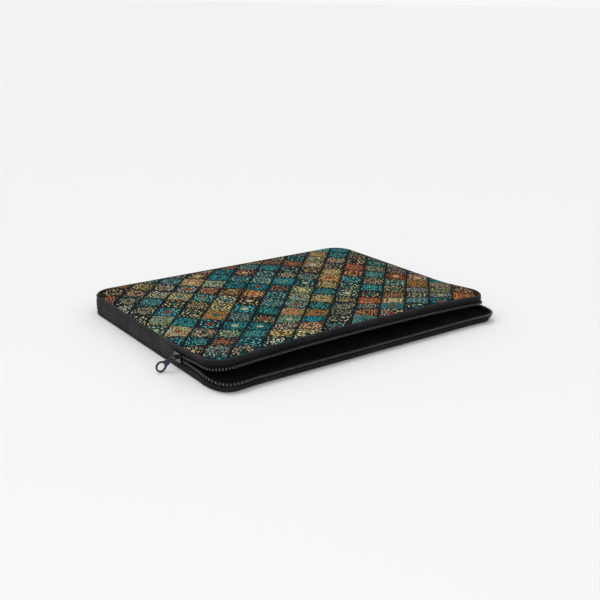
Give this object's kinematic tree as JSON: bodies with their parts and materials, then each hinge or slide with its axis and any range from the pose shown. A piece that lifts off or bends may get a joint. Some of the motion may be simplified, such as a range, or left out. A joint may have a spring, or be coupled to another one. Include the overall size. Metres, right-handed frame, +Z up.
{
  "type": "laptop sleeve",
  "caption": "Flat padded sleeve for a notebook computer, with a zip round the mouth's long side and corners.",
  "frame": {"origin": "middle of the underside, on the surface that the sleeve lies on", "axes": "+X along the mouth, +Y from the mouth to the back edge, +Z up through the thickness"},
  "size_m": [0.4131, 0.29, 0.031],
  "materials": {
    "printed_cover": "matte",
    "plain_cover": "matte",
    "foam": "matte",
    "lining": "matte",
    "binding": "matte",
    "gusset": "matte",
    "zip_tape": "matte",
    "zip_teeth": "satin",
    "slider_metal": "satin",
    "enamel": "gloss"
  },
  "bodies": {
    "base": {"bottom_cover": "plain_cover", "bottom_foam": "foam", "bottom_lining": "lining", "bottom_binding": "binding", "gusset_band": "gusset", "gusset_lining": "lining", "top_cover_rear": "printed_cover", "top_foam_rear": "foam", "top_lining_rear": "lining", "top_binding_rear": "binding", "lower_strip": "gusset", "lower_facing": "lining", "lower_tape": "zip_tape", "lower_teeth": "zip_teeth", "zip_stops": "zip_teeth"},
    "mouth_panel": {"top_cover_middle": "printed_cover", "top_foam_middle": "foam", "top_lining_middle": "lining", "top_binding_middle": "binding", "upper_strip_middle": "gusset", "upper_facing_middle": "lining", "upper_tape_middle": "zip_tape", "upper_teeth_middle": "zip_teeth"},
    "mouth_lip": {"top_cover_lip": "printed_cover", "top_foam_lip": "foam", "top_lining_lip": "lining", "top_binding_lip": "binding", "upper_strip_lip": "gusset", "upper_facing_lip": "lining", "upper_tape_lip": "zip_tape", "upper_teeth_lip": "zip_teeth"},
    "slider": {"slider_body": "slider_metal", "slider_bridge": "slider_metal", "slider_lock_spring": "slider_metal"},
    "link": {"pull_link": "slider_metal"},
    "tab": {"pull_tab": "slider_metal", "pull_enamel": "enamel"}
  },
  "joints": [
    {"name": "mouth_fold", "type": "hinge", "parent": "base", "child": "mouth_panel", "pos_m": [0, -0.065, 0.024], "axis": [1, 0, 0], "range_deg": [0, 3.8]},
    {"name": "lip_fold", "type": "hinge", "parent": "mouth_panel", "child": "mouth_lip", "pos_m": [0, -0.11481, 0.02836], "axis": [-1, 0, 0], "range_deg": [0, 60]},
    {"name": "zip_run", "type": "slide", "parent": "base", "child": "slider", "axis": [0, -1, 0], "range_m": [0, 0.0305]},
    {"name": "link_swing", "type": "hinge", "parent": "slider", "child": "link", "pos_m": [-0.198, -0.07425, 0.01286], "axis": [0, 1, 0], "range_deg": [0, 80]},
    {"name": "tab_swing", "type": "hinge", "parent": "link", "child": "tab", "pos_m": [-0.20259, -0.07425, 0.01087], "axis": [-0.3977, 0, 0.9175], "range_deg": [-65, 65]}
  ],
  "couplings": [
    {"joint": "zip_run", "follows": "mouth_fold", "m_per_rad": 0.45987}
  ]
}
